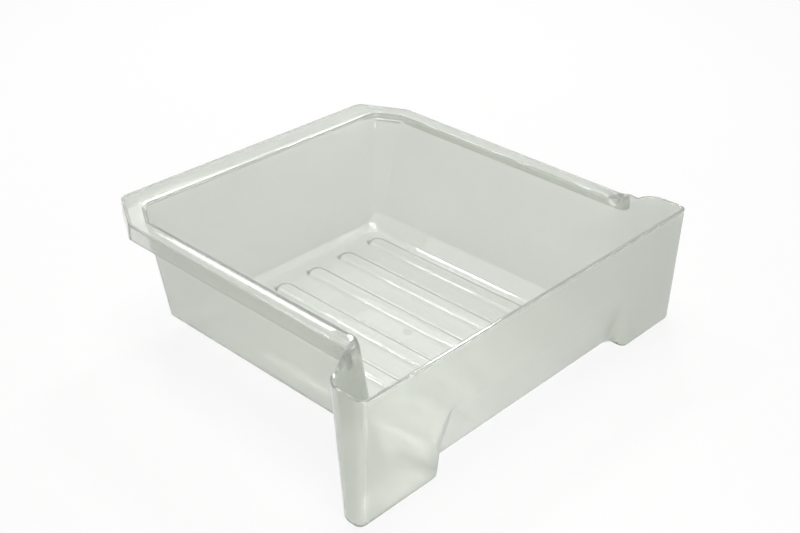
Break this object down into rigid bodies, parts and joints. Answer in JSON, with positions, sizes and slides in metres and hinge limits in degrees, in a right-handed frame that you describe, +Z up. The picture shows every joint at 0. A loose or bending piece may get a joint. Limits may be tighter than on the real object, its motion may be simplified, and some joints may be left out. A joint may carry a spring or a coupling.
{
  "type": "freezer ice bin",
  "caption": "One-piece clear plastic ice bin: deep open tub with ribbed floor, hanging rim skirt, winged front panel on two feet and a finger recess",
  "frame": {"origin": "middle of the bounding box in plan, level with the bottoms of the feet", "axes": "+X to the right seen from the front panel, +Y from the front panel to the back rim, +Z up"},
  "size_m": [0.3146, 0.273, 0.0965],
  "materials": {
    "natural_polypropylene": "natural translucent polypropylene, smooth moulded"
  },
  "bodies": {
    "root": {"floor_pan": "natural_polypropylene", "floor_rib_1": "natural_polypropylene", "floor_rib_2": "natural_polypropylene", "floor_rib_3": "natural_polypropylene", "floor_rib_4": "natural_polypropylene", "floor_rib_5": "natural_polypropylene", "floor_rib_6": "natural_polypropylene", "left_wall": "natural_polypropylene", "right_wall": "natural_polypropylene", "back_wall": "natural_polypropylene", "left_back_corner": "natural_polypropylene", "right_back_corner": "natural_polypropylene", "rim_left": "natural_polypropylene", "rim_right": "natural_polypropylene", "rim_back": "natural_polypropylene", "rim_left_corner": "natural_polypropylene", "rim_right_corner": "natural_polypropylene", "skirt_left": "natural_polypropylene", "skirt_right": "natural_polypropylene", "skirt_back": "natural_polypropylene", "skirt_left_corner": "natural_polypropylene", "skirt_right_corner": "natural_polypropylene", "front_panel": "natural_polypropylene", "finger_recess": "natural_polypropylene", "left_wing_corner": "natural_polypropylene", "left_wing_end": "natural_polypropylene", "left_wing_rear": "natural_polypropylene", "left_foot_face": "natural_polypropylene", "left_foot_side": "natural_polypropylene", "left_foot_tray": "natural_polypropylene", "right_wing_corner": "natural_polypropylene", "right_wing_end": "natural_polypropylene", "right_wing_rear": "natural_polypropylene", "right_foot_face": "natural_polypropylene", "right_foot_side": "natural_polypropylene", "right_foot_tray": "natural_polypropylene"}
  },
  "joints": []
}
